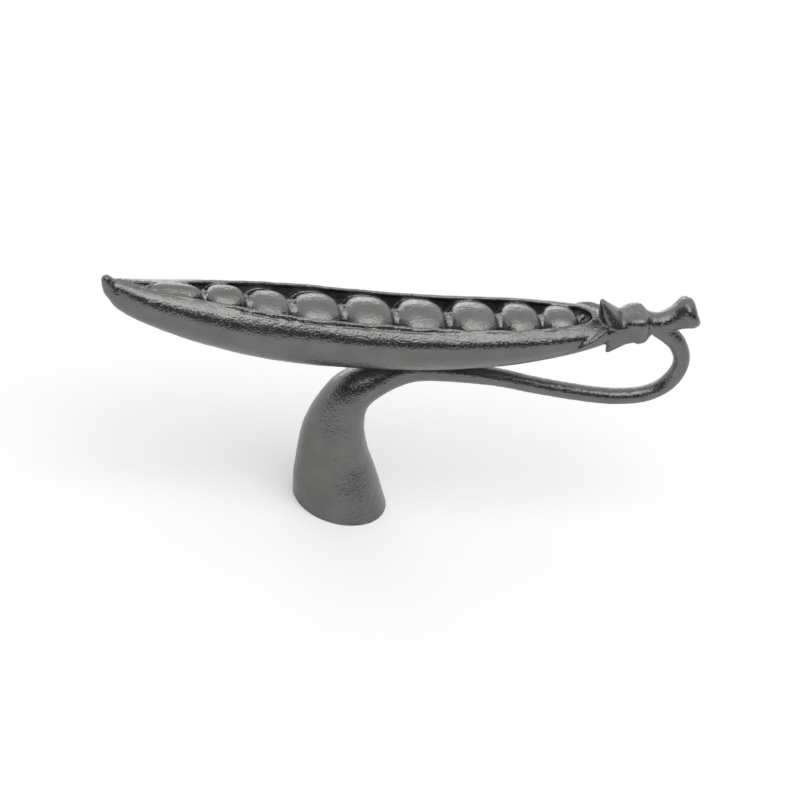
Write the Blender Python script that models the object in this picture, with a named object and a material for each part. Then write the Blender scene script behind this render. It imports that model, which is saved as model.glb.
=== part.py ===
"""Bean pod cabinet knob: one metal casting.

An open pod with its row of beans lies over the cabinet front. Its stem curls
back under it as a tendril, and the tendril swells into the foot that stands on
the drawer front, where a screw from inside the drawer pulls it tight.

Metres, +Z away from the cabinet front. The origin is the middle of the foot's
flat face, on the screw's axis. +X runs along the pod towards its stem.
"""
import math

import bmesh
import bpy
from mathutils import Matrix, Vector

MM = 0.001

# Pod: its reach to each side of the screw's axis, its section at the fullest point, and its bow
POD_TIP_REACH = 47.9 * MM
POD_STEM_REACH = 36.0 * MM
POD_HALF_WIDTH = 7.05 * MM
POD_TOP = 3.15 * MM
POD_BOTTOM = 7.25 * MM
POD_HEIGHT = 34.75 * MM
POD_LOW_POINT = 0.58
TIP_RISE = 2.3 * MM
TIP_RISE_POWER = 4
TIP_CURL = 3.1 * MM
TIP_CURL_POWER = 18
STEM_RISE = 2.95 * MM
STEM_RISE_POWER = 1.5

# Share of the full section along the pod, from the tip to the stem
POD_FULLNESS = (
    (0.000, 0.13),
    (0.012, 0.185),
    (0.035, 0.30),
    (0.100, 0.52),
    (0.200, 0.755),
    (0.285, 0.90),
    (0.385, 0.98),
    (0.507, 1.00),
    (0.605, 0.965),
    (0.700, 0.92),
    (0.800, 0.85),
    (0.900, 0.70),
    (0.970, 0.51),
    (1.000, 0.42),
)
# Past this share of the length the round tip has become the flat-topped open section
OPEN_SECTION_FROM = 0.38
ROUND_TIP_RADIUS = 6.45 * MM
ROUND_TOP_SQUARENESS = 2.0
OPEN_TOP_SQUARENESS = 2.6
BOTTOM_SQUARENESS = 2.1

# Slot: half its width as a share of the pod's half width, from the tip to the stem
SLOT_SHARE = (
    (0.030, 0.06),
    (0.070, 0.17),
    (0.100, 0.23),
    (0.200, 0.37),
    (0.300, 0.48),
    (0.400, 0.54),
    (0.600, 0.56),
    (0.800, 0.60),
    (0.900, 0.57),
    (0.960, 0.46),
    (0.995, 0.20),
)
# Its depth below its edge, where it has come to FULL_DEPTH_SHARE of the pod's half width
SLOT_DEPTH = 3.85 * MM
FULL_DEPTH_SHARE = 0.54

# Beans: where each one sits along the pod, and how it fills the slot
BEAN_PLACES = (0.148, 0.246, 0.332, 0.428, 0.534, 0.637, 0.740, 0.829, 0.905)
BEAN_STRETCH = (1.80, 1.25, 1.16, 1.16, 1.16, 1.16, 1.16, 1.16, 1.16)
BEAN_RADIUS = 3.8 * MM
BEAN_LIFT = 0.9 * MM
# The beans hang together on a thinner round string that runs through their middles
STRING_RADIUS = 2.2 * MM

# Stem: the calyx cup, its ring, the neck and the flared cut end. Each length runs on from the
# one before it, and each rise is from the middle of the pod's end
CALYX_RADIUS = 3.5 * MM
CALYX_OVERLAP = 0.9 * MM
CALYX_WAIST_RADIUS = 2.85 * MM
CALYX_LENGTH = 3.9 * MM
CALYX_DROP = 0.45 * MM
RING_RADIUS = 3.25 * MM
RING_LENGTH = 2.9 * MM
RING_RISE = 0.8 * MM
NECK_RADIUS = 1.75 * MM
NECK_LENGTH = 2.6 * MM
NECK_RISE = 1.1 * MM
STEM_END_RADIUS = 2.65 * MM
STEM_END_LENGTH = 4.4 * MM
STEM_END_RISE = 3.8 * MM
STEM_END_ASIDE = 0.6 * MM
# The stem's line by length: (share of the length, share of the rise, share of the radius)
CALYX_LINE = ((0.22, 0.8, 1.08), (0.62, 0.2, 1.0))
RING_LINE = ((0.0, 0.6, 0.938), (0.45, 1.0, 1.0), (0.70, 1.1, 0.9))
NECK_LINE = ((0.0, 0.92, 1.05), (0.55, 1.0, 1.0))
STEM_END_LINE = ((0.0, 0.2, 0.66), (0.35, 0.5, 0.82), (0.68, 0.8, 1.0), (0.88, 0.93, 0.93), (1.0, 1.0, 0.68))

# Sepals: turn about the pod, how far each tip lies back along it and how far out it stands
SEPAL_COUNT = 5
FIRST_SEPAL_TURN = math.radians(5)
SEPAL_BACK = (2.2 * MM, 3.9 * MM, 0.1 * MM, 2.0 * MM, 4.2 * MM)
SEPAL_REACH = (5.2 * MM, 4.45 * MM, 4.4 * MM, 4.2 * MM, 3.8 * MM)
SEPAL_TWIST = (0.0, math.radians(36), 0.0, 0.0, math.radians(-6))
SEPAL_ROOT_WIDTH = 2.4 * MM
SEPAL_THICKNESS = 1.4 * MM
SEPAL_BOW = 0.07
SEPAL_TIP_WIDTH = 0.5 * MM
# Where a sepal springs from the cup, and how thick its tip is: shares of the cup and of its root
SEPAL_ROOT_ALONG = 0.45
SEPAL_ROOT_OUT = 0.85
SEPAL_TIP_SHARE = 0.5

# Tendril: a round bar that leaves the neck's underside, loops back and crests under the pod
TENDRIL_RADIUS = 1.33 * MM
# How far the loop's middle line bends out past the pod's end
LOOP_PAST_POD = 13.85 * MM
LOOP_TOP = 33.6 * MM
LOOP_LOW = 23.7 * MM
TENDRIL_CREST_REACH = 10.4 * MM
TENDRIL_CREST_SWELL = 1.4
# How far the crest is sunk in the pod's underside, where the two are cast together
CREST_OVERLAP = 0.1 * MM
# Where the tendril leaves the neck: shares of the neck's length and radius, and of its own radius
TENDRIL_ROOT = (0.5, 0.3, 1.3)
# Bend of the loop: in from its reach and up from its low line as shares of its height, and thickness
LOOP_BEND = ((0.19, 1.16, 1.12), (0.02, 0.78, 1.0), (0.13, 0.37, 1.0), (0.465, 0.10, 1.0))
# Run from the loop to the crest: shares of the way and of the rise, and thickness
TENDRIL_RUN = ((0.253, 0.0, 1.0), (0.418, 0.12, 1.0), (0.596, 0.42, 1.04), (0.76, 0.78, 1.12))

# Foot: round, leaning a little from its neck to its level face
FOOT_DIAMETER = 15.3 * MM
FOOT_NECK_RADIUS = 4.3 * MM
FOOT_NECK_HEIGHT = 19.5 * MM
FOOT_LEAN = 3.9 * MM
FOOT_LEVEL_BELOW = 11.0 * MM
# Bend from the crest down to the neck: shares of the way back, of the fall and of the neck's radius
FOOT_BEND = ((0.336, 0.02, 0.557), (0.594, 0.26, 0.675), (0.874, 0.664, 0.93))
# Flare from the neck down to the face: shares of the lean, of the neck's height and of the face's radius
FOOT_FLARE = (
    (0.93, 0.95, 0.585),
    (1.03, 0.70, 0.675),
    (0.76, 0.44, 0.80),
    (0.33, 0.19, 0.93),
    (0.00, 0.00, 1.00),
)

# Tapped hole for the fixing screw, at its tapping size
SCREW_HOLE_DIAMETER = 3.5 * MM
SCREW_HOLE_DEPTH = 8.5 * MM
DRILL_POINT_ANGLE = math.radians(118)
DRILL_POINT_SHARE = 0.95
CUT_PAST_FACE = 1.0 * MM

# Mesh fineness
POD_RINGS = 38
POD_SIDES = 32
SLOT_SIDES = 14
BEAN_SEGMENTS = 16
BEAN_RINGS = 10
TUBE_STEPS = 4
TUBE_BEVEL_RESOLUTION = 5
CURL_SIDES = 22
SEPAL_STEPS = 5
SEPAL_SIDES = 10
STRING_STEPS = 9
HOLE_SIDES = 24
WELD = 0.00001 * MM

# Edges sharper than this are shaded as edges
SHARP_FROM = math.radians(50)

PEWTER_COLOUR = (0.19, 0.19, 0.185, 1.0)
PEWTER_ROUGHNESS = 0.36


def empty_the_scene():
    for thing in list(bpy.data.objects):
        bpy.data.objects.remove(thing, do_unlink=True)


def named_collection(name):
    group = bpy.data.collections.new(name)
    bpy.context.scene.collection.children.link(group)
    return group


def pewter():
    finish = bpy.data.materials.new("cast_pewter")
    finish.use_nodes = True
    shader = finish.node_tree.nodes["Principled BSDF"]
    shader.inputs["Base Color"].default_value = PEWTER_COLOUR
    shader.inputs["Metallic"].default_value = 1.0
    shader.inputs["Roughness"].default_value = PEWTER_ROUGHNESS
    return finish


def between(points, place):
    """Smooth value at place, through hand-set (place, value) points."""
    if place <= points[0][0]:
        return points[0][1]
    if place >= points[-1][0]:
        return points[-1][1]
    right = next(i for i, point in enumerate(points) if point[0] >= place)
    left = right - 1
    x0, y0 = points[left]
    x1, y1 = points[right]

    def slope(i):
        if i == 0 or i == len(points) - 1:
            a, b = max(i - 1, 0), min(i + 1, len(points) - 1)
            return (points[b][1] - points[a][1]) / (points[b][0] - points[a][0])
        before = (points[i][1] - points[i - 1][1]) / (points[i][0] - points[i - 1][0])
        after = (points[i + 1][1] - points[i][1]) / (points[i + 1][0] - points[i][0])
        if before * after <= 0:
            return 0.0
        return 2 * before * after / (before + after)

    width = x1 - x0
    t = (place - x0) / width
    rise = y0 * (2 * t**3 - 3 * t**2 + 1) + y1 * (3 * t**2 - 2 * t**3)
    return rise + width * (slope(left) * (t**3 - 2 * t**2 + t) + slope(right) * (t**3 - t**2))


def ease(value):
    value = min(max(value, 0.0), 1.0)
    return value * value * (3 - 2 * value)


def pod_middle(share):
    """Point on the line through the pod's widest level, share 0 at the tip and 1 at the stem."""
    along = -POD_TIP_REACH + share * (POD_TIP_REACH + POD_STEM_REACH)
    if share < POD_LOW_POINT:
        back = (POD_LOW_POINT - share) / POD_LOW_POINT
        rise = TIP_RISE * back**TIP_RISE_POWER + TIP_CURL * back**TIP_CURL_POWER
    else:
        on = (share - POD_LOW_POINT) / (1 - POD_LOW_POINT)
        rise = STEM_RISE * on**STEM_RISE_POWER
    return Vector((along, 0.0, POD_HEIGHT + rise))


def pod_section(share):
    """Half width, height above and depth below the widest level, and how square the top is."""
    full = between(POD_FULLNESS, share)
    opened = ease(share / OPEN_SECTION_FROM)
    half_width = full * (ROUND_TIP_RADIUS + (POD_HALF_WIDTH - ROUND_TIP_RADIUS) * opened)
    top = full * (ROUND_TIP_RADIUS + (POD_TOP - ROUND_TIP_RADIUS) * opened)
    bottom = full * (ROUND_TIP_RADIUS + (POD_BOTTOM - ROUND_TIP_RADIUS) * opened)
    squareness = ROUND_TOP_SQUARENESS + (OPEN_TOP_SQUARENESS - ROUND_TOP_SQUARENESS) * opened
    return half_width, top, bottom, squareness


def rounded(half_width, height, squareness, angle):
    """Point of a rounded-square outline at an angle, as (across, up)."""
    c = math.cos(angle)
    s = math.sin(angle)
    across = half_width * math.copysign(abs(c) ** (2 / squareness), c)
    up = height * math.copysign(abs(s) ** (2 / squareness), s)
    return across, up


def pod_ring(share):
    half_width, top, bottom, squareness = pod_section(share)
    middle = pod_middle(share)
    ring = []
    for i in range(POD_SIDES):
        angle = 2 * math.pi * i / POD_SIDES
        if math.sin(angle) >= 0:
            across, up = rounded(half_width, top, squareness, angle)
        else:
            across, up = rounded(half_width, bottom, BOTTOM_SQUARENESS, angle)
        ring.append(middle + Vector((0.0, across, up)))
    return ring


def pod_underside(along):
    """Height of the pod's lowest line above the cabinet front, by the reach towards the stem."""
    share = (along + POD_TIP_REACH) / (POD_TIP_REACH + POD_STEM_REACH)
    return pod_middle(share).z - pod_section(share)[2]


def lip_height(share):
    """Height of the slot's edge above the pod's widest level."""
    half_width, top, _, squareness = pod_section(share)
    slot = between(SLOT_SHARE, share)
    return top * (1 - slot**squareness) ** (1 / squareness)


def slot_ring(share):
    half_width = pod_section(share)[0]
    full = between(POD_FULLNESS, share)
    half_gap = half_width * between(SLOT_SHARE, share)
    edge = lip_height(share)
    depth = SLOT_DEPTH * full * min(1.0, between(SLOT_SHARE, share) / FULL_DEPTH_SHARE)
    middle = pod_middle(share)
    above = edge + POD_TOP
    ring = [middle + Vector((0.0, half_gap, above)), middle + Vector((0.0, -half_gap, above))]
    for i in range(SLOT_SIDES + 1):
        angle = math.pi + math.pi * i / SLOT_SIDES
        across = half_gap * math.cos(angle)
        ring.append(middle + Vector((0.0, across, edge + depth * math.sin(angle))))
    return ring


def loft(name, rings):
    """Closed skin through rings of equal count, capped at both ends, facing out."""
    mesh = bpy.data.meshes.new(name)
    bm = bmesh.new()
    rows = [[bm.verts.new(point) for point in ring] for ring in rings]
    count = len(rows[0])
    for here, there in zip(rows, rows[1:]):
        for i in range(count):
            j = (i + 1) % count
            bm.faces.new((here[i], here[j], there[j], there[i]))
    bm.faces.new(rows[0])
    bm.faces.new(list(reversed(rows[-1])))
    bmesh.ops.recalc_face_normals(bm, faces=bm.faces)
    bm.to_mesh(mesh)
    bm.free()
    return bpy.data.objects.new(name, mesh)


def tube(name, stations):
    """Round bar along (point, radius) stations, from a curve made into a mesh with its caps welded."""
    curve = bpy.data.curves.new(name, "CURVE")
    curve.dimensions = "3D"
    curve.bevel_depth = 1.0
    curve.bevel_resolution = TUBE_BEVEL_RESOLUTION
    curve.use_fill_caps = True
    spline = curve.splines.new("POLY")
    spline.points.add(len(stations) - 1)
    for point, (place, radius) in zip(spline.points, stations):
        point.co = (*place, 1.0)
        point.radius = radius
    bar = bpy.data.objects.new(name, curve)
    shapes.objects.link(bar)
    bpy.context.view_layer.update()
    mesh = bpy.data.meshes.new_from_object(bar.evaluated_get(bpy.context.evaluated_depsgraph_get()))
    place = bar.matrix_world.copy()
    bpy.data.objects.remove(bar)
    bm = bmesh.new()
    bm.from_mesh(mesh)
    bmesh.ops.remove_doubles(bm, verts=bm.verts, dist=WELD)
    bmesh.ops.recalc_face_normals(bm, faces=bm.faces)
    bm.to_mesh(mesh)
    bm.free()
    solid = bpy.data.objects.new(name, mesh)
    solid.matrix_world = place
    return solid


def smooth_path(knots, steps):
    """Points and radii on one smooth curve through hand-set (point, radius) knots."""
    path = []
    last = len(knots) - 1
    for i in range(last):
        around = [knots[min(max(i + k, 0), last)] for k in (-1, 0, 1, 2)]
        for step in range(steps):
            t = step / steps
            path.append(
                (
                    catmull_rom([knot[0] for knot in around], t),
                    catmull_rom([knot[1] for knot in around], t),
                )
            )
    path.append(knots[-1])
    return path


def catmull_rom(around, t):
    a, b, c, d = around
    linear = (c - a) * t
    square = (a * 2 - b * 5 + c * 4 - d) * t**2
    cube = (b * 3 - a - c * 3 + d) * t**3
    return b + (linear + square + cube) * 0.5


def stem_knots():
    """Calyx, ring, neck and flared end as (point, radius), on a line that turns up and a little aside."""
    front = pod_middle(1.0)
    ring_at = CALYX_LENGTH
    neck_at = ring_at + RING_LENGTH
    flare_at = neck_at + NECK_LENGTH
    whole = flare_at + STEM_END_LENGTH
    flare_rise = STEM_END_RISE - NECK_RISE
    line = [(-CALYX_OVERLAP, -CALYX_DROP, CALYX_RADIUS)]
    for along, rise, thick in CALYX_LINE:
        line.append((CALYX_LENGTH * along, -CALYX_DROP * rise, CALYX_WAIST_RADIUS * thick))
    for along, rise, thick in RING_LINE:
        line.append((ring_at + RING_LENGTH * along, RING_RISE * rise, RING_RADIUS * thick))
    for along, rise, thick in NECK_LINE:
        line.append((neck_at + NECK_LENGTH * along, NECK_RISE * rise, NECK_RADIUS * thick))
    for along, rise, thick in STEM_END_LINE:
        up = NECK_RISE + flare_rise * rise
        line.append((flare_at + STEM_END_LENGTH * along, up, STEM_END_RADIUS * thick))
    knots = []
    for along, up, radius in line:
        aside = STEM_END_ASIDE * ease((along - neck_at) / (whole - neck_at))
        knots.append((front + Vector((along, aside, up)), radius))
    return knots


def sepal(index, turn, back, reach, twist):
    """Pointed leaf of the calyx, from the cup's waist out to its tip."""
    front = pod_middle(1.0)
    root = front + Vector((CALYX_LENGTH * SEPAL_ROOT_ALONG, 0.0, -CALYX_DROP / 2))
    tip = front + Vector((-back, 0.0, -CALYX_DROP))
    out_at_root = CALYX_WAIST_RADIUS * SEPAL_ROOT_OUT
    along = Vector((tip.x - root.x, 0.0, reach - out_at_root)).normalized()
    rings = []
    for step in range(SEPAL_STEPS + 1):
        t = step / SEPAL_STEPS
        angle = turn + twist * t
        out = Vector((0.0, -math.sin(angle), math.cos(angle)))
        side = Vector((0.0, math.cos(angle), math.sin(angle)))
        bow = math.sin(math.pi * t) * SEPAL_BOW * reach
        middle = root.lerp(tip, t) + out * (out_at_root * (1 - t) + reach * t - bow)
        half_width = (SEPAL_ROOT_WIDTH * (1 - t) + SEPAL_TIP_WIDTH * t) / 2
        half_thick = SEPAL_THICKNESS * (1 - SEPAL_TIP_SHARE * t) / 2
        flat = out * -along.x + Vector((along.z, 0.0, 0.0))
        ring = []
        for i in range(SEPAL_SIDES):
            around = 2 * math.pi * i / SEPAL_SIDES
            ring.append(middle + side * half_width * math.cos(around) + flat * half_thick * math.sin(around))
        rings.append(ring)
    return loft("sepal_%d" % index, rings)


def curl_knots():
    """Tendril from inside the neck, round the loop and under the pod, then down the foot."""
    neck_share, neck_drop, root_thick = TENDRIL_ROOT
    neck = pod_middle(1.0) + Vector((CALYX_LENGTH + RING_LENGTH + NECK_LENGTH * neck_share, 0.0, NECK_RISE))
    crest_radius = TENDRIL_RADIUS * TENDRIL_CREST_SWELL
    crest = pod_underside(TENDRIL_CREST_REACH) - crest_radius + CREST_OVERLAP
    knots = [(neck.x, neck.z - NECK_RADIUS * neck_drop, TENDRIL_RADIUS * root_thick)]
    loop_reach = POD_STEM_REACH + LOOP_PAST_POD
    height = LOOP_TOP - LOOP_LOW
    for inward, up, thick in LOOP_BEND:
        knots.append((loop_reach - height * inward, LOOP_LOW + height * up, TENDRIL_RADIUS * thick))
    run = loop_reach - TENDRIL_CREST_REACH
    for way, rise, thick in TENDRIL_RUN:
        knots.append((loop_reach - run * way, LOOP_LOW + (crest - LOOP_LOW) * rise, TENDRIL_RADIUS * thick))
    knots.append((TENDRIL_CREST_REACH, crest, crest_radius))
    back = TENDRIL_CREST_REACH + FOOT_LEAN
    for way, fall, thick in FOOT_BEND:
        drop = (crest - FOOT_NECK_HEIGHT) * fall
        knots.append((TENDRIL_CREST_REACH - back * way, crest - drop, FOOT_NECK_RADIUS * thick))
    for lean, up, thick in FOOT_FLARE:
        knots.append((-FOOT_LEAN * lean, FOOT_NECK_HEIGHT * up, FOOT_DIAMETER / 2 * thick))
    return [(Vector((along, 0.0, up)), radius) for along, up, radius in knots]


def curl_rings():
    """Round sections square to the curl's line, which turn level towards the foot's face."""
    path = smooth_path(curl_knots(), TUBE_STEPS)
    rings = []
    for i, (middle, radius) in enumerate(path):
        before = path[max(i - 1, 0)][0]
        after = path[min(i + 1, len(path) - 1)][0]
        heading = (after - before).normalized()
        level = 1.0 - ease(middle.z / FOOT_LEVEL_BELOW)
        heading = heading.lerp(Vector((0.0, 0.0, -1.0)), level).normalized()
        side = Vector((0.0, 1.0, 0.0))
        across = heading.cross(side)
        ring = []
        for k in range(CURL_SIDES):
            angle = 2 * math.pi * k / CURL_SIDES
            ring.append(middle + (side * math.cos(angle) + across * math.sin(angle)) * radius)
        rings.append(ring)
    return rings


def boolean(target, tool, operation):
    """Cut or join a tool into the target, and remove the tool."""
    shapes.objects.link(tool)
    tool.hide_render = True
    tool.display_type = "WIRE"
    step = target.modifiers.new(tool.name, "BOOLEAN")
    step.operation = operation
    step.solver = "EXACT"
    step.object = tool
    bpy.context.view_layer.update()
    result = bpy.data.meshes.new_from_object(target.evaluated_get(bpy.context.evaluated_depsgraph_get()))
    target.modifiers.clear()
    target.data = result
    bpy.data.objects.remove(tool)


def bean_middle(share):
    return pod_middle(share) + Vector((0.0, 0.0, BEAN_LIFT * between(POD_FULLNESS, share)))


def bean(index, share, stretch):
    radius = BEAN_RADIUS * between(POD_FULLNESS, share)
    mesh = bpy.data.meshes.new("bean_%d" % index)
    bm = bmesh.new()
    bmesh.ops.create_uvsphere(bm, u_segments=BEAN_SEGMENTS, v_segments=BEAN_RINGS, radius=radius)
    place = Matrix.Translation(bean_middle(share)) @ Matrix.Diagonal((stretch, 1.0, 1.0, 1.0))
    bmesh.ops.transform(bm, matrix=place, verts=bm.verts)
    bm.to_mesh(mesh)
    bm.free()
    return bpy.data.objects.new("bean_%d" % index, mesh)


def bean_string():
    """Round string from the first bean's middle to the last one's."""
    stations = []
    for i in range(STRING_STEPS + 1):
        share = BEAN_PLACES[0] + (BEAN_PLACES[-1] - BEAN_PLACES[0]) * i / STRING_STEPS
        stations.append((bean_middle(share), STRING_RADIUS * between(POD_FULLNESS, share)))
    return tube("bean_string", stations)


def drilled_hole():
    """Hole with a drill point, straight up from the foot's face."""
    radius = SCREW_HOLE_DIAMETER / 2
    point = radius / math.tan(DRILL_POINT_ANGLE / 2) * DRILL_POINT_SHARE
    stations = (
        (-CUT_PAST_FACE, radius),
        (SCREW_HOLE_DEPTH, radius),
        (SCREW_HOLE_DEPTH + point, radius * (1 - DRILL_POINT_SHARE)),
    )
    rings = []
    for up, size in stations:
        ring = []
        for i in range(HOLE_SIDES):
            angle = 2 * math.pi * i / HOLE_SIDES
            ring.append(Vector((size * math.cos(angle), size * math.sin(angle), up)))
        rings.append(ring)
    return loft("screw_hole", rings)


def pod_shares():
    """Where the pod's rings lie: closer together towards the tip and the stem."""
    return [0.5 - 0.5 * math.cos(math.pi * i / POD_RINGS) for i in range(POD_RINGS + 1)]


def build_casting():
    casting = loft("pod_knob_casting", [pod_ring(share) for share in pod_shares()])
    parts.objects.link(casting)
    first = SLOT_SHARE[0][0]
    last = SLOT_SHARE[-1][0]
    slot_shares = [first + (last - first) * share for share in pod_shares()]
    boolean(casting, loft("slot", [slot_ring(share) for share in slot_shares]), "DIFFERENCE")
    boolean(casting, bean_string(), "UNION")
    for index, (share, stretch) in enumerate(zip(BEAN_PLACES, BEAN_STRETCH)):
        boolean(casting, bean(index, share, stretch), "UNION")
    boolean(casting, tube("stem", smooth_path(stem_knots(), TUBE_STEPS)), "UNION")
    for index, values in enumerate(zip(SEPAL_BACK, SEPAL_REACH, SEPAL_TWIST)):
        turn = FIRST_SEPAL_TURN + 2 * math.pi * index / SEPAL_COUNT
        boolean(casting, sepal(index, turn, *values), "UNION")
    boolean(casting, loft("curl", curl_rings()), "UNION")
    boolean(casting, drilled_hole(), "DIFFERENCE")
    casting.data.materials.clear()
    casting.data.materials.append(pewter())
    casting.data.shade_smooth()
    casting.data.set_sharp_from_angle(angle=SHARP_FROM)
    return casting


empty_the_scene()
parts = named_collection("bean_pod_cabinet_knob")
shapes = named_collection("cutters")
build_casting()
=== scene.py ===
"""Bean pod cabinet knob: the looks of its one casting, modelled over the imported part."""
import math

import bmesh
import bpy
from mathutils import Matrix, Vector


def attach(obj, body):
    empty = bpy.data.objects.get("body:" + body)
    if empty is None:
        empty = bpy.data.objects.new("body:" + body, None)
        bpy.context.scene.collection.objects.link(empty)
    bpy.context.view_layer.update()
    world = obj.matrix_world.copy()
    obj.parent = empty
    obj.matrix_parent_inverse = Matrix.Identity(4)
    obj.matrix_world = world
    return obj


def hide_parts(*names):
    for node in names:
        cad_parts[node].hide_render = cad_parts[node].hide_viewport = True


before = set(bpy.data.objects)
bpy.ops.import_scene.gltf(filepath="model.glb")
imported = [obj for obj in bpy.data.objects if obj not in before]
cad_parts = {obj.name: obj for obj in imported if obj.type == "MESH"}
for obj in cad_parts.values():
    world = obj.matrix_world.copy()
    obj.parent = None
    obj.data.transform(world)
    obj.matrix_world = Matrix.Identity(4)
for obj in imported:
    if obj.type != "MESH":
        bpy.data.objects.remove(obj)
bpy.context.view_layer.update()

# Pod
# The pod is the body of the casting: a round tip that opens into a hollow, flat-topped shell.
# It is extruded ring by ring from its tip to its stem, and the hollow for the beans is cut out.
MM = 0.001
POD_TIP_REACH = 47.9 * MM
POD_STEM_REACH = 36.0 * MM
POD_HEIGHT = 34.75 * MM
POD_LOW_POINT = 0.58
TIP_RISE = 2.3 * MM
TIP_RISE_POWER = 4
TIP_CURL = 3.1 * MM
TIP_CURL_POWER = 18
STEM_RISE = 2.95 * MM
STEM_RISE_POWER = 1.5
# Place along the pod, then half width, height above and depth below the widest level, in mm, and
# how square the top is
POD_SECTIONS = (
    (0.022, 0.70, 0.90, 1.30, 2.1),
    (0.026, 1.15, 1.45, 1.85, 2.2),
    (0.032, 1.50, 2.00, 2.25, 2.4),
    (0.042, 1.84, 2.44, 2.55, 2.6),
    (0.070, 2.65, 2.97, 2.96, 2.6),
    (0.100, 3.41, 3.26, 3.39, 2.5),
    (0.150, 4.33, 3.67, 4.27, 2.45),
    (0.200, 5.20, 3.96, 5.03, 2.33),
    (0.250, 5.88, 4.22, 5.72, 2.15),
    (0.310, 6.35, 4.44, 6.52, 2.05),
    (0.385, 6.62, 4.45, 7.18, 2.05),
    (0.450, 6.80, 4.18, 7.40, 2.05),
    (0.507, 6.95, 3.95, 7.31, 2.05),
    (0.605, 6.84, 3.78, 7.13, 2.05),
    (0.700, 6.66, 3.32, 6.80, 2.25),
    (0.800, 6.30, 3.08, 6.08, 2.35),
    (0.860, 5.87, 2.78, 5.27, 2.4),
    (0.900, 5.32, 2.60, 4.68, 2.4),
    (0.940, 4.72, 2.36, 3.90, 2.4),
    (0.970, 4.25, 2.02, 3.00, 2.4),
    (1.000, 3.00, 1.75, 2.55, 2.4),
)
# Half the gap between the lips, in mm
OPENING = (
    (0.034, 0.15),
    (0.070, 0.40),
    (0.100, 0.80),
    (0.150, 1.55),
    (0.200, 2.38),
    (0.285, 3.40),
    (0.385, 4.22),
    (0.450, 4.34),
    (0.507, 4.26),
    (0.605, 4.22),
    (0.700, 4.20),
    (0.800, 4.10),
    (0.860, 3.62),
    (0.900, 3.10),
    (0.940, 2.30),
    (0.952, 1.80),
    (0.962, 0.90),
)
HOLLOW_DEPTH = 1.0
HOLLOW_SQUARENESS = 2.3
# How far the slot's cutter stands above the lips
SLOT_ABOVE = 3 * MM
POD_RINGS = 90
POD_SIDES = 80
SLOT_SIDES = 24


def between(points, place):
    """Smooth value at place, through given (place, value) points."""
    if place <= points[0][0]:
        return points[0][1]
    if place >= points[-1][0]:
        return points[-1][1]
    right = next(i for i, point in enumerate(points) if point[0] >= place)
    left = right - 1
    x0, y0 = points[left]
    x1, y1 = points[right]

    def slope(i):
        if i == 0 or i == len(points) - 1:
            a, b = max(i - 1, 0), min(i + 1, len(points) - 1)
            return (points[b][1] - points[a][1]) / (points[b][0] - points[a][0])
        before = (points[i][1] - points[i - 1][1]) / (points[i][0] - points[i - 1][0])
        after = (points[i + 1][1] - points[i][1]) / (points[i + 1][0] - points[i][0])
        if before * after <= 0:
            return 0.0
        return 2 * before * after / (before + after)

    width = x1 - x0
    t = (place - x0) / width
    rise = y0 * (2 * t**3 - 3 * t**2 + 1) + y1 * (3 * t**2 - 2 * t**3)
    return rise + width * (slope(left) * (t**3 - 2 * t**2 + t) + slope(right) * (t**3 - t**2))


def ease(value):
    """Soft rise from 0 to 1."""
    value = min(max(value, 0.0), 1.0)
    return value * value * (3 - 2 * value)


def pod_middle(share):
    """Point on the line through the pod's widest level, share 0 at the tip and 1 at the stem."""
    along = -POD_TIP_REACH + share * (POD_TIP_REACH + POD_STEM_REACH)
    if share < POD_LOW_POINT:
        back = (POD_LOW_POINT - share) / POD_LOW_POINT
        rise = TIP_RISE * back**TIP_RISE_POWER + TIP_CURL * back**TIP_CURL_POWER
    else:
        on = (share - POD_LOW_POINT) / (1 - POD_LOW_POINT)
        rise = STEM_RISE * on**STEM_RISE_POWER
    return Vector((along, 0.0, POD_HEIGHT + rise))


def pod_section(share):
    """Half width, height above and depth below the widest level, and how square the top is."""
    half_width, top, bottom, squareness = [
        between([(row[0], row[column]) for row in POD_SECTIONS], share)
        for column in (1, 2, 3, 4)
    ]
    return half_width * MM, top * MM, bottom * MM, squareness


def half_gap(share):
    """Half the gap between the lips."""
    return MM * between(OPENING, share)


def height_at(share, across):
    """Height of the pod's top above its widest level, at a distance across from its middle."""
    half_width, top, _, squareness = pod_section(share)
    return top * (1 - (across / half_width) ** squareness) ** (1 / squareness)


def rounded(half_width, height, squareness, angle):
    """Point of a rounded-square outline at an angle, as (across, up)."""
    c = math.cos(angle)
    s = math.sin(angle)
    across = half_width * math.copysign(abs(c) ** (2 / squareness), c)
    up = height * math.copysign(abs(s) ** (2 / squareness), s)
    return across, up


def pod_ring(share):
    """Outline of the pod's shell: squarish above its widest level, round below it."""
    half_width, top, bottom, squareness = pod_section(share)
    ring = []
    for i in range(POD_SIDES):
        angle = 2 * math.pi * i / POD_SIDES
        if i < POD_SIDES / 2:
            across, up = rounded(half_width, top, squareness, angle)
        else:
            across, up = rounded(half_width, bottom, 2.0, angle)
        ring.append(pod_middle(share) + Vector((0.0, across, up)))
    return ring


def slot_ring(share):
    """Outline of the cutter: the hollow for the beans below the lips, open above them."""
    gap = half_gap(share)
    edge = height_at(share, gap)
    middle = pod_middle(share)
    above = edge + SLOT_ABOVE
    ring = [middle + Vector((0.0, gap, above)), middle + Vector((0.0, -gap, above))]
    for i in range(SLOT_SIDES + 1):
        angle = math.pi + math.pi * i / SLOT_SIDES
        across, up = rounded(gap, HOLLOW_DEPTH * gap, HOLLOW_SQUARENESS, angle)
        ring.append(middle + Vector((0.0, across, edge + up)))
    return ring


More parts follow.
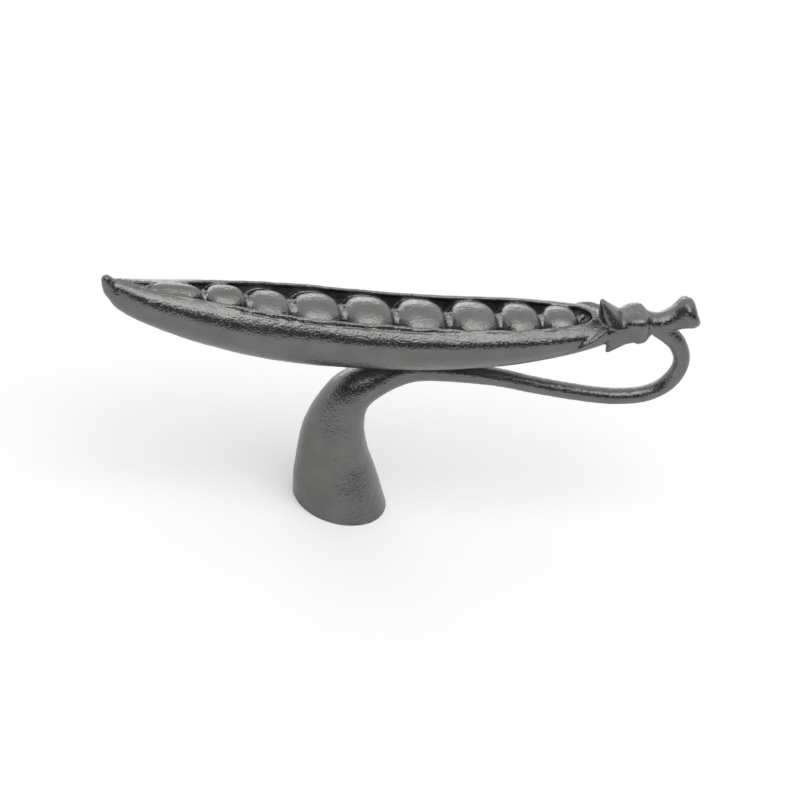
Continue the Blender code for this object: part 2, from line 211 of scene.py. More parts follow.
def shares(first, last, count):
    """Places along the pod, closer together towards both ends."""
    ways = [0.5 - 0.5 * math.cos(math.pi * i / count) for i in range(count + 1)]
    return [first + (last - first) * way for way in ways]


def extruded(name, rings):
    """Closed solid: a circle of points, extruded from ring to ring and filled at both ends."""
    bpy.ops.object.select_all(action="DESELECT")
    bpy.ops.mesh.primitive_circle_add(vertices=len(rings[0]), radius=MM, fill_type="NOTHING")
    solid = bpy.context.object
    solid.name = name
    for point, place in zip(solid.data.vertices, rings[0]):
        point.co = place
    bpy.ops.object.mode_set(mode="EDIT")
    bpy.ops.mesh.select_all(action="SELECT")
    bpy.ops.mesh.edge_face_add()
    bpy.ops.mesh.select_all(action="SELECT")
    for here, there in zip(rings, rings[1:]):
        bpy.ops.mesh.extrude_region_move()
        shape = bmesh.from_edit_mesh(solid.data)
        ends = [point for point in shape.verts if point.select]
        for point in ends:
            nearest = min(range(len(here)), key=lambda i: (here[i] - point.co).length_squared)
            point.co = there[nearest]
        bmesh.update_edit_mesh(solid.data)
    bpy.ops.mesh.select_all(action="SELECT")
    bpy.ops.mesh.normals_make_consistent(inside=False)
    bpy.ops.object.mode_set(mode="OBJECT")
    return solid


def cut_or_join(target, tool, operation):
    """Cut a tool shape out of the target, or join it on, and clear the tool away."""
    step = target.modifiers.new(tool.name, "BOOLEAN")
    step.operation = operation
    step.solver = "EXACT"
    step.object = tool
    bpy.ops.object.select_all(action="DESELECT")
    bpy.context.view_layer.objects.active = target
    bpy.ops.object.modifier_apply(modifier=step.name)
    bpy.data.objects.remove(tool)


pod_rings = [pod_ring(share) for share in shares(POD_SECTIONS[0][0], 1.0, POD_RINGS)]
casting = extruded("pod_casting", pod_rings)
slot_rings = [slot_ring(share) for share in shares(OPENING[0][0], OPENING[-1][0], POD_RINGS)]
cut_or_join(casting, extruded("pod_slot", slot_rings), "DIFFERENCE")

# Lips of the pod
# Each edge of the opening is a thin raised bead, a little uneven, with a fine groove outside it.
# It is a round bar that follows the edge and melts into the shell when the casting is fused.
LIP_RADIUS = 0.33 * MM
LIP_STATIONS = 60
LIP_OUT = 0.16 * MM
LIP_SINK = 0.20 * MM
# The lip starts at this share of its radius at the tip, and is at its full radius by this place
LIP_TIP_SHARE = 0.2
LIP_FULL_BY = 0.25
# A lip strays by two waves: how fast each runs along the pod, and its strength
LIP_WANDER = 0.08 * MM
LONG_WAVE = (61, 1.0)
SHORT_WAVE = (133, 0.7)
WANDER_BOTH = 0.65
WANDER_NEAR = 0.35
WANDER_FULL_BY = 0.3
WANDER_ASIDE = 0.6
GROOVE_FROM = 0.20
GROOVE_TO = 0.86
GROOVE_ASIDE = 0.78 * MM
GROOVE_RADIUS = 0.26 * MM
GROOVE_END_SHARE = 0.15
GROOVE_FADE_IN = 0.1
GROOVE_FADE_OUT = 0.3
GROOVE_WANDER = 0.5
# The groove's depth beats a little along its length: its share that beats, and how fast
GROOVE_BEAT = 0.2
GROOVE_BEAT_RATE = 211
# Place along, height and thickness of the upturned point, in mm
TIP_POINT = (
    (-47.22, 40.42, 0.33),
    (-47.06, 40.12, 0.70),
    (-46.75, 39.57, 0.94),
    (-46.27, 38.94, 1.20),
    (-45.68, 38.31, 1.52),
    (-44.96, 37.79, 1.76),
    (-44.10, 37.32, 1.86),
    (-43.20, 36.92, 1.76),
)


def bar(name, stations, sides=10, steps=6):
    """Round bar through (place, radius) stations: a smooth curve with a round bevel, as a mesh.

    The bevel is 1 m deep, so that a point's own radius is the bar's real radius there.
    """
    bpy.ops.object.select_all(action="DESELECT")
    bpy.ops.curve.primitive_bezier_curve_add(location=(0.0, 0.0, 0.0))
    line = bpy.context.object
    line.name = name
    line.data.dimensions = "3D"
    line.data.bevel_depth = 1.0
    line.data.bevel_resolution = sides
    line.data.resolution_u = steps
    line.data.use_fill_caps = True
    spline = line.data.splines[0]
    spline.bezier_points.add(len(stations) - 2)
    for point, (place, radius) in zip(spline.bezier_points, stations):
        point.co = place
        point.radius = radius
        point.handle_left_type = "AUTO"
        point.handle_right_type = "AUTO"
    bpy.ops.object.convert(target="MESH")
    bpy.ops.object.mode_set(mode="EDIT")
    bpy.ops.mesh.select_all(action="SELECT")
    bpy.ops.mesh.remove_doubles(threshold=0.000001)
    bpy.ops.mesh.normals_make_consistent(inside=False)
    bpy.ops.object.mode_set(mode="OBJECT")
    return bpy.context.object


def wander(share, side):
    """How far a hand-finished lip strays from its line; the far one runs straighter."""
    stray = LONG_WAVE[1] * math.sin(LONG_WAVE[0] * share + side)
    stray += SHORT_WAVE[1] * math.sin(SHORT_WAVE[0] * share + 2 * side)
    return LIP_WANDER * stray * (WANDER_BOTH - WANDER_NEAR * side) * ease(share / WANDER_FULL_BY)


def lip_line(side):
    """Stations of one lip: side 1 is the far one, -1 the near one."""
    stations = []
    for share in shares(OPENING[0][0], OPENING[-1][0], LIP_STATIONS):
        stray = wander(share, side)
        across = half_gap(share) + LIP_OUT
        up = height_at(share, across) - LIP_SINK + stray
        place = pod_middle(share) + Vector((0.0, side * (across + WANDER_ASIDE * stray), up))
        fullness = LIP_TIP_SHARE + (1 - LIP_TIP_SHARE) * ease(share / LIP_FULL_BY)
        stations.append((place, LIP_RADIUS * fullness))
    return stations


def groove_line(side):
    """Stations of the fine groove in the shoulder, just outside a lip."""
    stations = []
    for share in shares(GROOVE_FROM, GROOVE_TO, LIP_STATIONS):
        across = half_gap(share) + GROOVE_ASIDE
        stray = wander(share, side)
        up = height_at(share, across) + GROOVE_WANDER * stray
        place = pod_middle(share) + Vector((0.0, side * (across + WANDER_ASIDE * stray), up))
        fade = ease((share - GROOVE_FROM) / GROOVE_FADE_IN) * ease((GROOVE_TO - share) / GROOVE_FADE_OUT)
        fullness = GROOVE_END_SHARE + (1 - GROOVE_END_SHARE) * fade
        beat = 1 - GROOVE_BEAT + GROOVE_BEAT * math.sin(GROOVE_BEAT_RATE * share)
        stations.append((place, GROOVE_RADIUS * fullness * beat))
    return stations


for side in (1, -1):
    cut_or_join(casting, bar("groove", groove_line(side)), "DIFFERENCE")
tip_line = [(Vector((along * MM, 0.0, up * MM)), thick * MM) for along, up, thick in TIP_POINT]
pieces = [casting, bar("tip", tip_line), bar("far_lip", lip_line(1)), bar("near_lip", lip_line(-1))]

# Beans
# Nine beans lie in a row in the pod, cast in one with it. Each is a flattened round bean, and
# they hang together on a string that shows as a saddle with a small bead between every two.
BEAN_PLACES = (0.148, 0.246, 0.332, 0.427, 0.529, 0.632, 0.735, 0.825, 0.902)
# Half length, half width, half height and height of the middle above the widest level, in mm
BEAN_SIZES = (
    (4.55, 2.15, 1.80, 2.20),
    (3.35, 3.10, 2.30, 2.15),
    (3.75, 4.10, 2.90, 0.95),
    (4.20, 4.65, 3.20, 0.62),
    (4.25, 4.70, 3.20, 0.62),
    (4.25, 4.70, 3.20, 0.55),
    (4.00, 4.60, 3.10, 0.48),
    (3.40, 4.25, 2.90, 0.38),
    (3.00, 3.50, 2.50, 0.48),
)
BEAN_SQUARENESS = 2.7
BEAN_STEPS = 34
BEAN_SIDES = 56
BEAD_PLACES = (0.205, 0.286, 0.378, 0.475, 0.581, 0.685, 0.782, 0.865, 0.944)
BEAD_RADIUS = 0.50 * MM
BEAD_SINK = 0.1 * MM
# The string: its radius as a share of half the gap, and how far its top lies below the lips
STRING_SHARE = 0.55
STRING_DROP = 0.30 * MM
STRING_ENDS = (0.150, 0.944)
STRING_STATIONS = 20

for index, (share, sizes) in enumerate(zip(BEAN_PLACES, BEAN_SIZES)):
    half_length, half_wide, half_tall, lift = [size * MM for size in sizes]
    bean_rings = []
    for step in range(1, BEAN_STEPS):
        along = -math.cos(math.pi * step / BEAN_STEPS)
        swell = (1 - abs(along) ** BEAN_SQUARENESS) ** (1 / BEAN_SQUARENESS)
        ring = []
        for i in range(BEAN_SIDES):
            angle = 2 * math.pi * i / BEAN_SIDES
            across = half_wide * swell * math.cos(angle)
            up = lift + half_tall * swell * math.sin(angle)
            ring.append(pod_middle(share) + Vector((half_length * along, across, up)))
        bean_rings.append(ring)
    pieces.append(extruded("bean_%d" % index, bean_rings))

string_stations = []
for share in shares(STRING_ENDS[0], STRING_ENDS[1], STRING_STATIONS):
    thick = half_gap(share) * STRING_SHARE
    up = height_at(share, half_gap(share)) - STRING_DROP - thick
    string_stations.append((pod_middle(share) + Vector((0.0, 0.0, up)), thick))
pieces.append(bar("bean_string", string_stations, sides=12))

for index, share in enumerate(BEAD_PLACES):
    up = height_at(share, half_gap(share)) - STRING_DROP - BEAD_SINK
    place = pod_middle(share) + Vector((0.0, 0.0, up))
    bpy.ops.object.select_all(action="DESELECT")
    bpy.ops.mesh.primitive_uv_sphere_add(segments=24, ring_count=16, radius=BEAD_RADIUS, location=place)
    bead = bpy.context.object
    bead.name = "bead_%d" % index
    bpy.ops.object.transform_apply(location=True, rotation=True, scale=True)
    pieces.append(bead)

# Stem
# Behind the pod comes the calyx cup with its ring, a thin neck and the flared cut end of the
# stem, turned up and a little aside. It is extruded along its line; the ring is flat on top.
CALYX_DROP = 0.45 * MM
NECK_RADIUS = 1.75 * MM
NECK_AT = 6.8 * MM
NECK_LENGTH = 2.6 * MM
NECK_RISE = 1.1 * MM
STEM_END_ASIDE = 0.6 * MM
# Distance past the pod's end, rise and radius in mm, and how square the section is
STEM_LINE = (
    (-1.30, -0.50, 2.10, 2.2),
    (-0.60, -0.48, 2.65, 2.4),
    (0.20, -0.42, 2.95, 2.6),
    (1.00, -0.28, 2.98, 2.7),
    (2.20, -0.02, 2.88, 3.0),
    (2.95, 0.28, 2.95, 3.4),
    (3.60, 0.62, 3.22, 3.8),
    (4.15, 0.78, 3.40, 4.0),
    (4.75, 0.78, 3.42, 4.0),
    (5.30, 0.78, 3.22, 3.8),
    (5.80, 0.84, 2.80, 3.3),
    (6.25, 0.92, 2.20, 2.7),
    (6.80, 1.02, 1.84, 2.3),
    (8.20, 1.10, 1.76, 2.2),
    (9.40, 1.58, 1.78, 2.1),
    (10.90, 2.28, 2.08, 2.0),
    (11.80, 2.78, 2.44, 2.0),
    (12.50, 3.18, 2.72, 2.0),
    (13.05, 3.56, 2.70, 2.0),
    (13.42, 3.84, 2.34, 2.0),
    (13.64, 4.02, 1.72, 2.0),
    (13.74, 4.10, 0.90, 2.0),
)
# A squarer section is made this much narrower and flatter, for each 1 of squareness past 2
SQUARE_NARROWS = 0.05
SQUARE_FLATTENS = 0.12
# The line's heading is taken from this far to each side of a ring, in mm
HEADING_REACH = 0.3
STEM_STEPS = 90
STEM_SIDES = 64

pod_end = pod_middle(1.0)
stem_length = STEM_LINE[-1][0] * MM


def stem_at(along):
    """Middle of the stem at a distance in mm past the pod's end."""
    rise = between([(row[0], row[1]) for row in STEM_LINE], along) * MM
    aside = STEM_END_ASIDE * ease((along * MM - NECK_AT) / (stem_length - NECK_AT))
    return pod_end + Vector((along * MM, aside, rise))


stem_rings = []
for step in range(STEM_STEPS + 1):
    way = math.sin(math.pi * step / STEM_STEPS / 2)
    along = STEM_LINE[0][0] + (STEM_LINE[-1][0] - STEM_LINE[0][0]) * way
    radius = between([(row[0], row[2]) for row in STEM_LINE], along) * MM
    squareness = between([(row[0], row[3]) for row in STEM_LINE], along)
    heading = (stem_at(along + HEADING_REACH) - stem_at(along - HEADING_REACH)).normalized()
    sideways = heading.cross(Vector((0.0, 0.0, 1.0))).normalized()
    upward = sideways.cross(heading)
    half_wide = radius * (1 - SQUARE_NARROWS * (squareness - 2))
    half_tall = radius * (1 - SQUARE_FLATTENS * (squareness - 2))
    ring = []
    for i in range(STEM_SIDES):
        angle = 2 * math.pi * (i + 0.5) / STEM_SIDES
        across, up = rounded(half_wide, half_tall, squareness, angle)
        ring.append(stem_at(along) + sideways * across + upward * up)
    stem_rings.append(ring)
pieces.append(extruded("stem", stem_rings))

# Sepals
# Five small pointed leaves spring from the calyx cup and lie back over the pod's end.
# Each is a thick bar, extruded from the cup and drawn to a point.
# Root and tip of each: distance past the pod's end, turn in degrees from the top, distance out
# from the stem's middle, width and thickness, in mm; then how far it bows out, and whether it
# lies along the pod
SEPALS = (
    ((0.40, 5, 2.00, 6.0, 5.0), (-2.40, 5, 5.50, 1.30, 0.70), 0.00, False),
    ((-1.30, 62, 3.20, 1.1, 1.3), (-5.90, 101, 4.85, 0.75, 0.90), 0.12, True),
    ((1.90, 149, 2.00, 4.2, 3.8), (0.20, 149, 3.95, 0.60, 0.60), 0.00, False),
    ((1.90, 221, 2.00, 4.2, 3.8), (0.20, 221, 3.95, 0.60, 0.60), 0.00, False),
    ((-1.10, -60, 3.00, 1.2, 1.4), (-4.60, -80, 4.45, 0.75, 0.90), 0.08, True),
)
SEPAL_STEPS = 16
SEPAL_SIDES = 24

stem_middle = pod_end + Vector((0.0, 0.0, -CALYX_DROP))
for index, (root, tip, bow, laid_back) in enumerate(SEPALS):
    slant = Vector((tip[0] - root[0], 0.0, tip[2] - root[2])).normalized()
    sepal_rings = []
    for step in range(SEPAL_STEPS + 1):
        t = step / SEPAL_STEPS
        along, turn, out, wide, thick = [a + (b - a) * t for a, b in zip(root, tip)]
        turn = math.radians(turn)
        outward = Vector((0.0, -math.sin(turn), math.cos(turn)))
        sideways = Vector((0.0, math.cos(turn), math.sin(turn)))
        middle = stem_middle + Vector((along * MM, 0.0, 0.0))
        middle += outward * (out + math.sin(math.pi * t) * bow * tip[2]) * MM
        flat = Vector((1.0, 0.0, 0.0))
        if laid_back:
            flat = outward * -slant.x + Vector((slant.z, 0.0, 0.0))
        ring = []
        for i in range(SEPAL_SIDES):
            around = 2 * math.pi * i / SEPAL_SIDES
            outline = sideways * wide * math.cos(around) + flat * thick * math.sin(around)
            ring.append(middle + outline * MM / 2)
        sepal_rings.append(ring)
    pieces.append(extruded("sepal_%d" % index, sepal_rings))

# Tendril and foot
# A round tendril leaves the underside of the neck, loops back under the pod, is cast to the
# pod's underside at its crest, and swells downwards into the foot that stands on the drawer.
TENDRIL_RADIUS = 1.33 * MM
# How far the loop's middle line bends out past the pod's end
LOOP_PAST_POD = 13.85 * MM
LOOP_TOP = 33.6 * MM
LOOP_LOW = 23.7 * MM
TENDRIL_CREST_REACH = 10.4 * MM
TENDRIL_CREST_SWELL = 1.4
CREST_OVERLAP = 0.1 * MM
TENDRIL_ROOT = (0.5, 0.3, 1.3)
LOOP_BEND = ((0.19, 1.16, 1.12), (0.02, 0.78, 1.0), (0.13, 0.37, 1.0), (0.465, 0.10, 1.0))
TENDRIL_RUN = ((0.253, 0.0, 1.0), (0.418, 0.12, 1.0), (0.596, 0.42, 1.04), (0.76, 0.78, 1.12))
FOOT_DIAMETER = 15.3 * MM
FOOT_NECK_RADIUS = 4.3 * MM
FOOT_NECK_HEIGHT = 19.5 * MM
FOOT_LEAN = 3.9 * MM
FOOT_LEVEL_BELOW = 11.0 * MM
FOOT_BEND = ((0.336, 0.02, 0.545), (0.594, 0.26, 0.62), (0.874, 0.664, 0.82))
FOOT_FLARE = (
    (0.94, 0.95, 0.53),
    (1.03, 0.70, 0.653),
    (0.79, 0.44, 0.757),
    (0.35, 0.19, 0.907),
    (0.00, 0.00, 1.00),
)
FOOT_ALLOWANCE = 0.8 * MM
CURL_STEPS = 10
CURL_SIDES = 56

crest_share = (TENDRIL_CREST_REACH + POD_TIP_REACH) / (POD_TIP_REACH + POD_STEM_REACH)
crest_radius = TENDRIL_RADIUS * TENDRIL_CREST_SWELL
crest = pod_middle(crest_share).z - pod_section(crest_share)[2] - crest_radius + CREST_OVERLAP
neck_share, neck_drop, root_thick = TENDRIL_ROOT
neck_reach = pod_end.x + NECK_AT + NECK_LENGTH * neck_share
neck_height = pod_end.z + NECK_RISE - NECK_RADIUS * neck_drop
knots = [(neck_reach, neck_height, TENDRIL_RADIUS * root_thick)]
loop_reach = POD_STEM_REACH + LOOP_PAST_POD
height = LOOP_TOP - LOOP_LOW
for inward, up, thick in LOOP_BEND:
    knots.append((loop_reach - height * inward, LOOP_LOW + height * up, TENDRIL_RADIUS * thick))
run = loop_reach - TENDRIL_CREST_REACH
for way, rise, thick in TENDRIL_RUN:
    knots.append((loop_reach - run * way, LOOP_LOW + (crest - LOOP_LOW) * rise, TENDRIL_RADIUS * thick))
knots.append((TENDRIL_CREST_REACH, crest, crest_radius))
back_to_foot = TENDRIL_CREST_REACH + FOOT_LEAN
for way, fall, thick in FOOT_BEND:
    drop = (crest - FOOT_NECK_HEIGHT) * fall
    knots.append((TENDRIL_CREST_REACH - back_to_foot * way, crest - drop, FOOT_NECK_RADIUS * thick))
for lean, up, thick in FOOT_FLARE:
    knots.append((-FOOT_LEAN * lean, FOOT_NECK_HEIGHT * up, FOOT_DIAMETER / 2 * thick))
knots = [(Vector((along, 0.0, up)), radius) for along, up, radius in knots]


def through(a, b, c, d, t):
    """Value between b and c on the smooth line through four values."""
    linear = (c - a) * t
    square = (a * 2 - b * 5 + c * 4 - d) * t**2
    cube = (b * 3 - a - c * 3 + d) * t**3
    return b + (linear + square + cube) * 0.5


path = []
last = len(knots) - 1
for i in range(last):
    around = [knots[min(max(i + k, 0), last)] for k in (-1, 0, 1, 2)]
    for step in range(CURL_STEPS):
        middle = through(*[knot[0] for knot in around], step / CURL_STEPS)
        radius = through(*[knot[1] for knot in around], step / CURL_STEPS)
        path.append((middle, radius))
path.append(knots[-1])
curl_rings = []
for i, (middle, radius) in enumerate(path):
    before = path[max(i - 1, 0)][0]
    after = path[min(i + 1, len(path) - 1)][0]
    level = 1.0 - ease(middle.z / FOOT_LEVEL_BELOW)
    heading = (after - before).normalized().lerp(Vector((0.0, 0.0, -1.0)), level).normalized()
    across = heading.cross(Vector((0.0, 1.0, 0.0)))
    ring = []
    for k in range(CURL_SIDES):
        angle = 2 * math.pi * k / CURL_SIDES
        ring.append(middle + (Vector((0.0, math.cos(angle), 0.0)) + across * math.sin(angle)) * radius)
    curl_rings.append(ring)
# The foot is cast a little too long and is dressed flat at its face below
curl_rings.append([point - Vector((0.0, 0.0, FOOT_ALLOWANCE)) for point in curl_rings[-1]])
pieces.append(extruded("tendril_and_foot", curl_rings))

# Fused casting
# All of it is one casting, so the shapes are joined, fused and smoothed until every junction is
# a soft fillet, then given the slight unevenness of cast metal and dressed flat at the foot.
FUSE_GRAIN = 0.14 * MM
FILLET_ROUNDS = 8
# Size across and height of the faint lumps that casting leaves
UNEVENNESS = ((2.6 * MM, 0.08 * MM), (0.9 * MM, 0.05 * MM))
CASTING_TRIANGLES = 195000

bpy.ops.object.select_all(action="DESELECT")
for piece in pieces:
    piece.select_set(True)
bpy.context.view_layer.objects.active = casting
bpy.ops.object.join()
fuse = casting.modifiers.new("fuse", "REMESH")
fuse.mode = "VOXEL"
fuse.voxel_size = FUSE_GRAIN
bpy.ops.object.modifier_apply(modifier="fuse")
fillet = casting.modifiers.new("fillet", "SMOOTH")
fillet.factor = 0.5
fillet.iterations = FILLET_ROUNDS
bpy.ops.object.modifier_apply(modifier="fillet")
for number, (size, height) in enumerate(UNEVENNESS):
    grain = bpy.data.textures.new("cast_unevenness_%d" % number, "CLOUDS")
    grain.noise_scale = size
    grain.noise_depth = 1
    uneven = casting.modifiers.new("uneven", "DISPLACE")
    uneven.texture = grain
    uneven.texture_coords = "LOCAL"
    uneven.strength = height
    uneven.mid_level = 0.5
    bpy.ops.object.modifier_apply(modifier="uneven")
thin = casting.modifiers.new("thin", "DECIMATE")
thin.ratio = CASTING_TRIANGLES / (2 * len(casting.data.polygons))
bpy.ops.object.modifier_apply(modifier="thin")
bpy.ops.object.mode_set(mode="EDIT")
bpy.ops.mesh.select_all(action="SELECT")
bpy.ops.mesh.bisect(
    plane_co=(0.0, 0.0, 0.0),
    plane_no=(0.0, 0.0, 1.0),
    clear_inner=True,
    use_fill=True,
    threshold=0.0000001,
)
bpy.ops.object.mode_set(mode="OBJECT")

# Screw hole
# A blind hole is drilled up into the foot and tapped for the screw that comes through the drawer
# front. It is cut as the drilled bore with its drill point, at its tapping size.
SCREW_HOLE_DIAMETER = 3.5 * MM
SCREW_HOLE_DEPTH = 8.5 * MM
DRILL_POINT = 1.0 * MM
DRILL_TIP_SHARE = 0.06
# Edges sharper than this are shaded as edges
SHARP_FROM = math.radians(50)

bpy.ops.object.select_all(action="DESELECT")
bpy.ops.mesh.primitive_cylinder_add(
    vertices=48,
    radius=SCREW_HOLE_DIAMETER / 2,
    depth=SCREW_HOLE_DEPTH + MM,
    location=(0.0, 0.0, (SCREW_HOLE_DEPTH - MM) / 2),
)
bore = bpy.context.object
bore.name = "bore"
bpy.ops.object.transform_apply(location=True, rotation=True, scale=True)
bpy.ops.object.mode_set(mode="EDIT")
bpy.ops.mesh.select_mode(type="FACE")
bpy.ops.mesh.select_all(action="DESELECT")
shape = bmesh.from_edit_mesh(bore.data)
for face in shape.faces:
    face.select = face.normal.z > 0.9
bmesh.update_edit_mesh(bore.data)
bpy.ops.mesh.extrude_region_move(TRANSFORM_OT_translate={"value": (0.0, 0.0, DRILL_POINT)})
bpy.ops.transform.resize(value=(DRILL_TIP_SHARE, DRILL_TIP_SHARE, 1.0))
bpy.ops.object.mode_set(mode="OBJECT")
cut_or_join(casting, bore, "DIFFERENCE")
bpy.ops.object.select_all(action="DESELECT")
casting.select_set(True)
bpy.context.view_layer.objects.active = casting
bpy.ops.object.shade_smooth_by_angle(angle=SHARP_FROM)

# Pewter
# The metal is cast pewter with a dark antique finish: satin, with a fine sandy grain and patches of
# random tone. Painted shade makes it darker in hollows, and a painted highlight a little brighter on
# sharp edges.
PEWTER_COLOUR = (0.185, 0.182, 0.178, 1.0)
# Darker tone for the random patches, also used as the painted shade in hollows
PEWTER_DARK_TONE_AND_SHADE = (0.14, 0.138, 0.134, 1.0)
# Painted highlight colour for sharp convex edges
PEWTER_PAINTED_HIGHLIGHT = (0.30, 0.297, 0.29, 1.0)
PEWTER_METALLIC = 0.92
PEWTER_ROUGHNESS = (0.17, 0.27)
PATCH_SIZE = 4.0 * MM
PATCH_STRENGTH = 0.55
SAND_SIZE = 0.34 * MM
SAND_HEIGHT = 0.10 * MM

pewter = bpy.data.materials.new("antique_pewter")
pewter.use_nodes = True
nodes = pewter.node_tree.nodes
links = pewter.node_tree.links
shader = nodes["Principled BSDF"]
shader.inputs["Metallic"].default_value = PEWTER_METALLIC
place = nodes.new("ShaderNodeTexCoord")


def noise(size, detail):
    """Noise whose lumps are about size across, in metres on the object."""
    node = nodes.new("ShaderNodeTexNoise")
    node.inputs["Scale"].default_value = 1.0 / size
    node.inputs["Detail"].default_value = detail
    node.inputs["Roughness"].default_value = 0.5
    links.new(place.outputs["Object"], node.inputs["Vector"])
    return node


def spread(value, low, high, to_low, to_high):
    """Value carried over from one range to another."""
    node = nodes.new("ShaderNodeMapRange")
    node.inputs["From Min"].default_value = low
    node.inputs["From Max"].default_value = high
    node.inputs["To Min"].default_value = to_low
    node.inputs["To Max"].default_value = to_high
    links.new(value, node.inputs["Value"])
    return node.outputs["Result"]


def blend_colour(share, low, high):
    """Colour between low and high by share; each is a colour or another node's output."""
    node = nodes.new("ShaderNodeMix")
    node.data_type = "RGBA"
    links.new(share, node.inputs["Factor"])
    for socket, value in ((node.inputs[6], low), (node.inputs[7], high)):
        if isinstance(value, tuple):
            socket.default_value = value
        else:
            links.new(value, socket)
    return node.outputs[2]


patches = noise(PATCH_SIZE, 3)
sand = noise(SAND_SIZE, 2)
edge = nodes.new("ShaderNodeNewGeometry")
patchy = spread(patches.outputs["Fac"], 0.35, 0.65, 0.0, PATCH_STRENGTH)
body_colour = blend_colour(patchy, PEWTER_COLOUR, PEWTER_DARK_TONE_AND_SHADE)
# Painted shade: the colour is darkened where the surface is hollow, found by pointiness
hollow = spread(edge.outputs["Pointiness"], 0.36, 0.44, 1.0, 0.0)
painted_shade_colour = blend_colour(hollow, body_colour, PEWTER_DARK_TONE_AND_SHADE)
# Painted highlight: the colour is brightened on sharp convex edges, found by pointiness
painted_highlight = spread(edge.outputs["Pointiness"], 0.62, 0.78, 0.0, 1.0)
painted_highlight_colour = blend_colour(painted_highlight, painted_shade_colour, PEWTER_PAINTED_HIGHLIGHT)
links.new(painted_highlight_colour, shader.inputs["Base Color"])
links.new(spread(sand.outputs["Fac"], 0.3, 0.7, *PEWTER_ROUGHNESS), shader.inputs["Roughness"])
sandy_bump = nodes.new("ShaderNodeBump")
sandy_bump.inputs["Strength"].default_value = 1.0
sandy_bump.inputs["Distance"].default_value = SAND_HEIGHT
links.new(sand.outputs["Fac"], sandy_bump.inputs["Height"])
links.new(sandy_bump.outputs["Normal"], shader.inputs["Normal"])

casting.data.materials.clear()
casting.data.materials.append(pewter)
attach(casting, "root")
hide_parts("pod_knob_casting")

# Floor
# A plain white studio floor, a hair below the foot's face. It keeps the knob's shadow, and it
# carries on past the view so that the metal mirrors a plain white sweep.
FLOOR_SIZE = 6.0
FLOOR_GAP = 0.05 * MM
FLOOR_GLOW = 0.25
FLOOR_GLOW_MIRRORED = 0.15

bpy.ops.object.select_all(action="DESELECT")
bpy.ops.mesh.primitive_plane_add(size=FLOOR_SIZE, location=(0.0, 0.0, -FLOOR_GAP))
floor = bpy.context.object
floor.name = "floor"
bpy.ops.object.transform_apply(location=True, rotation=True, scale=True)
white = bpy.data.materials.new("white_paper")
white.use_nodes = True
paper = white.node_tree.nodes["Principled BSDF"]
paper.inputs["Base Color"].default_value = (0.9, 0.9, 0.9, 1.0)
paper.inputs["Roughness"].default_value = 0.9
paper.inputs["Specular IOR Level"].default_value = 0.1
paper.inputs["Emission Color"].default_value = (1.0, 1.0, 1.0, 1.0)
seen = white.node_tree.nodes.new("ShaderNodeLightPath")
glow = white.node_tree.nodes.new("ShaderNodeMath")
glow.operation = "MULTIPLY"
glow.inputs[1].default_value = FLOOR_GLOW
mirrored = white.node_tree.nodes.new("ShaderNodeMath")
mirrored.operation = "MULTIPLY_ADD"
mirrored.inputs[1].default_value = FLOOR_GLOW_MIRRORED
white.node_tree.links.new(seen.outputs["Is Camera Ray"], glow.inputs[0])
white.node_tree.links.new(seen.outputs["Is Glossy Ray"], mirrored.inputs[0])
white.node_tree.links.new(glow.outputs["Value"], mirrored.inputs[2])
white.node_tree.links.new(mirrored.outputs["Value"], paper.inputs["Emission Strength"])
floor.data.materials.append(white)

# Studio light
# A large soft box stands in front and above, a second one low behind, and a dark screen low in
# front gives the metal its dark horizon. The camera doesn't see the screen.
LAMP_AIM = (0.0, 0.0, 0.03)
SCREEN_RADIUS = 0.9
SCREEN_LOW = 0.05
SCREEN_HIGH = 0.84
# The screen stands in front of this place only, and leaves the back open
SCREEN_ENDS_AT = 0.1
WORLD_MIRRORED = 1.0
WORLD_LIGHT = 0.55


def soft_box(name, place, width, height, power):
    """Flat rectangular lamp at a place, turned to the knob."""
    bpy.ops.object.light_add(type="AREA", location=place)
    lamp = bpy.context.object
    lamp.name = name
    lamp.data.shape = "RECTANGLE"
    lamp.data.size = width
    lamp.data.size_y = height
    lamp.data.energy = power
    lamp.rotation_euler = (Vector(LAMP_AIM) - Vector(place)).to_track_quat("-Z", "Y").to_euler()


soft_box("top_box", (0.05, -0.35, 1.05), width=1.1, height=0.75, power=4.3)
soft_box("back_box", (-0.10, 1.15, 0.20), width=1.1, height=0.34, power=3.4)

bpy.ops.object.select_all(action="DESELECT")
bpy.ops.mesh.primitive_cylinder_add(
    vertices=64,
    radius=SCREEN_RADIUS,
    depth=SCREEN_HIGH - SCREEN_LOW,
    end_fill_type="NOTHING",
    location=(0.0, 0.0, (SCREEN_HIGH + SCREEN_LOW) / 2),
)
screen = bpy.context.object
screen.name = "dark_screen"
bpy.ops.object.transform_apply(location=True, rotation=True, scale=True)
bpy.ops.object.mode_set(mode="EDIT")
bpy.ops.mesh.select_mode(type="VERT")
bpy.ops.mesh.select_all(action="SELECT")
bpy.ops.mesh.bisect(plane_co=(0.0, SCREEN_ENDS_AT, 0.0), plane_no=(0.0, 1.0, 0.0), clear_outer=True)
bpy.ops.object.mode_set(mode="OBJECT")
felt = bpy.data.materials.new("dark_felt")
felt.use_nodes = True
felt.node_tree.nodes["Principled BSDF"].inputs["Base Color"].default_value = (0.05, 0.05, 0.05, 1.0)
felt.node_tree.nodes["Principled BSDF"].inputs["Roughness"].default_value = 1.0
screen.data.materials.append(felt)
screen.visible_camera = False
screen.visible_shadow = False
screen.visible_diffuse = False

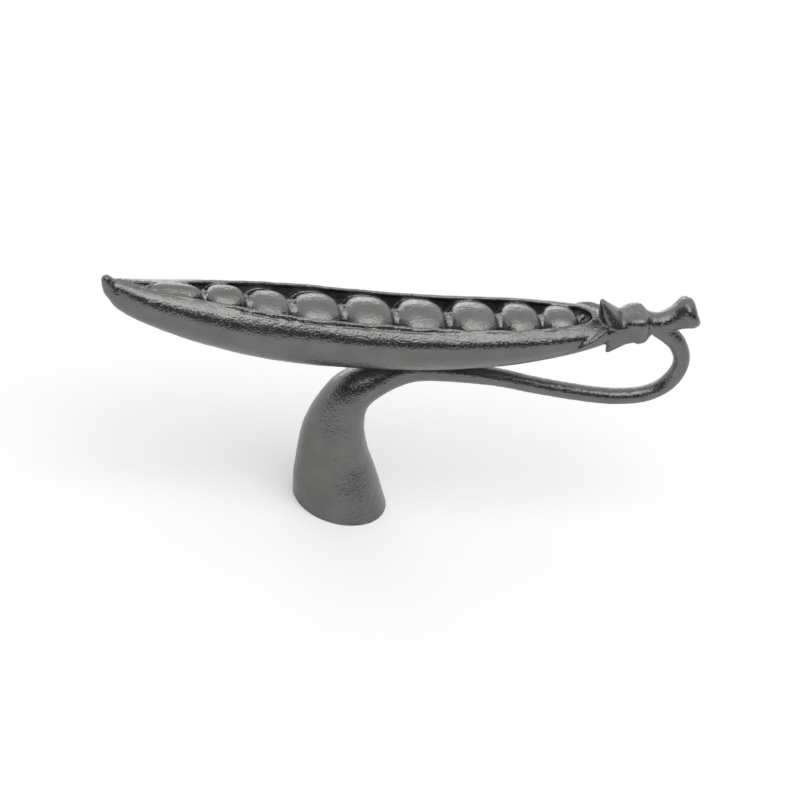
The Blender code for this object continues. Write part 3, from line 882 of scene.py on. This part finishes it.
world = bpy.data.worlds.new("studio")
bpy.context.scene.world = world
world.use_nodes = True
sky = world.node_tree.nodes["Background"]
sky.inputs["Color"].default_value = (1.0, 1.0, 1.0, 1.0)
ray = world.node_tree.nodes.new("ShaderNodeLightPath")
soft = world.node_tree.nodes.new("ShaderNodeMapRange")
soft.inputs["To Min"].default_value = WORLD_MIRRORED
soft.inputs["To Max"].default_value = WORLD_LIGHT
world.node_tree.links.new(ray.outputs["Is Diffuse Ray"], soft.inputs["Value"])
world.node_tree.links.new(soft.outputs["Result"], sky.inputs["Strength"])

# Camera
# It stands off in front, to the left and above, at the photograph's angle, with a long lens.
CAMERA_BACK = Vector((-0.271, -0.759, 0.592))
CAMERA_RIGHT = Vector((0.9606, -0.1735, 0.217))
CAMERA_DISTANCE = 1.5
PIXELS_PER_METRE = 6250
ORIGIN_PIXEL = (339.3, 495.6)
FRAME_PIXELS = 800
SENSOR_WIDTH_MM = 36.0
VIEW_END = 20.0

back = CAMERA_BACK.normalized()
right = (CAMERA_RIGHT - back * CAMERA_RIGHT.dot(back)).normalized()
up = back.cross(right)
focal_pixels = PIXELS_PER_METRE * CAMERA_DISTANCE
aside = FRAME_PIXELS / 2 - ORIGIN_PIXEL[0]
above = ORIGIN_PIXEL[1] - FRAME_PIXELS / 2
view_back = (back * focal_pixels - right * aside - up * above).normalized()
view_right = (right - view_back * right.dot(view_back)).normalized()
view_up = view_back.cross(view_right)
bpy.ops.object.camera_add(location=back * CAMERA_DISTANCE)
camera = bpy.context.object
camera.name = "camera"
turn = [[view_right[i], view_up[i], view_back[i]] for i in range(3)]
matrix = camera.matrix_world.to_3x3()
for i in range(3):
    for k in range(3):
        matrix[i][k] = turn[i][k]
camera.rotation_euler = matrix.to_euler()
camera.data.sensor_width = SENSOR_WIDTH_MM
camera.data.lens = focal_pixels / FRAME_PIXELS * SENSOR_WIDTH_MM
camera.data.clip_end = VIEW_END
bpy.context.scene.camera = camera
bpy.context.scene.view_settings.view_transform = "Standard"
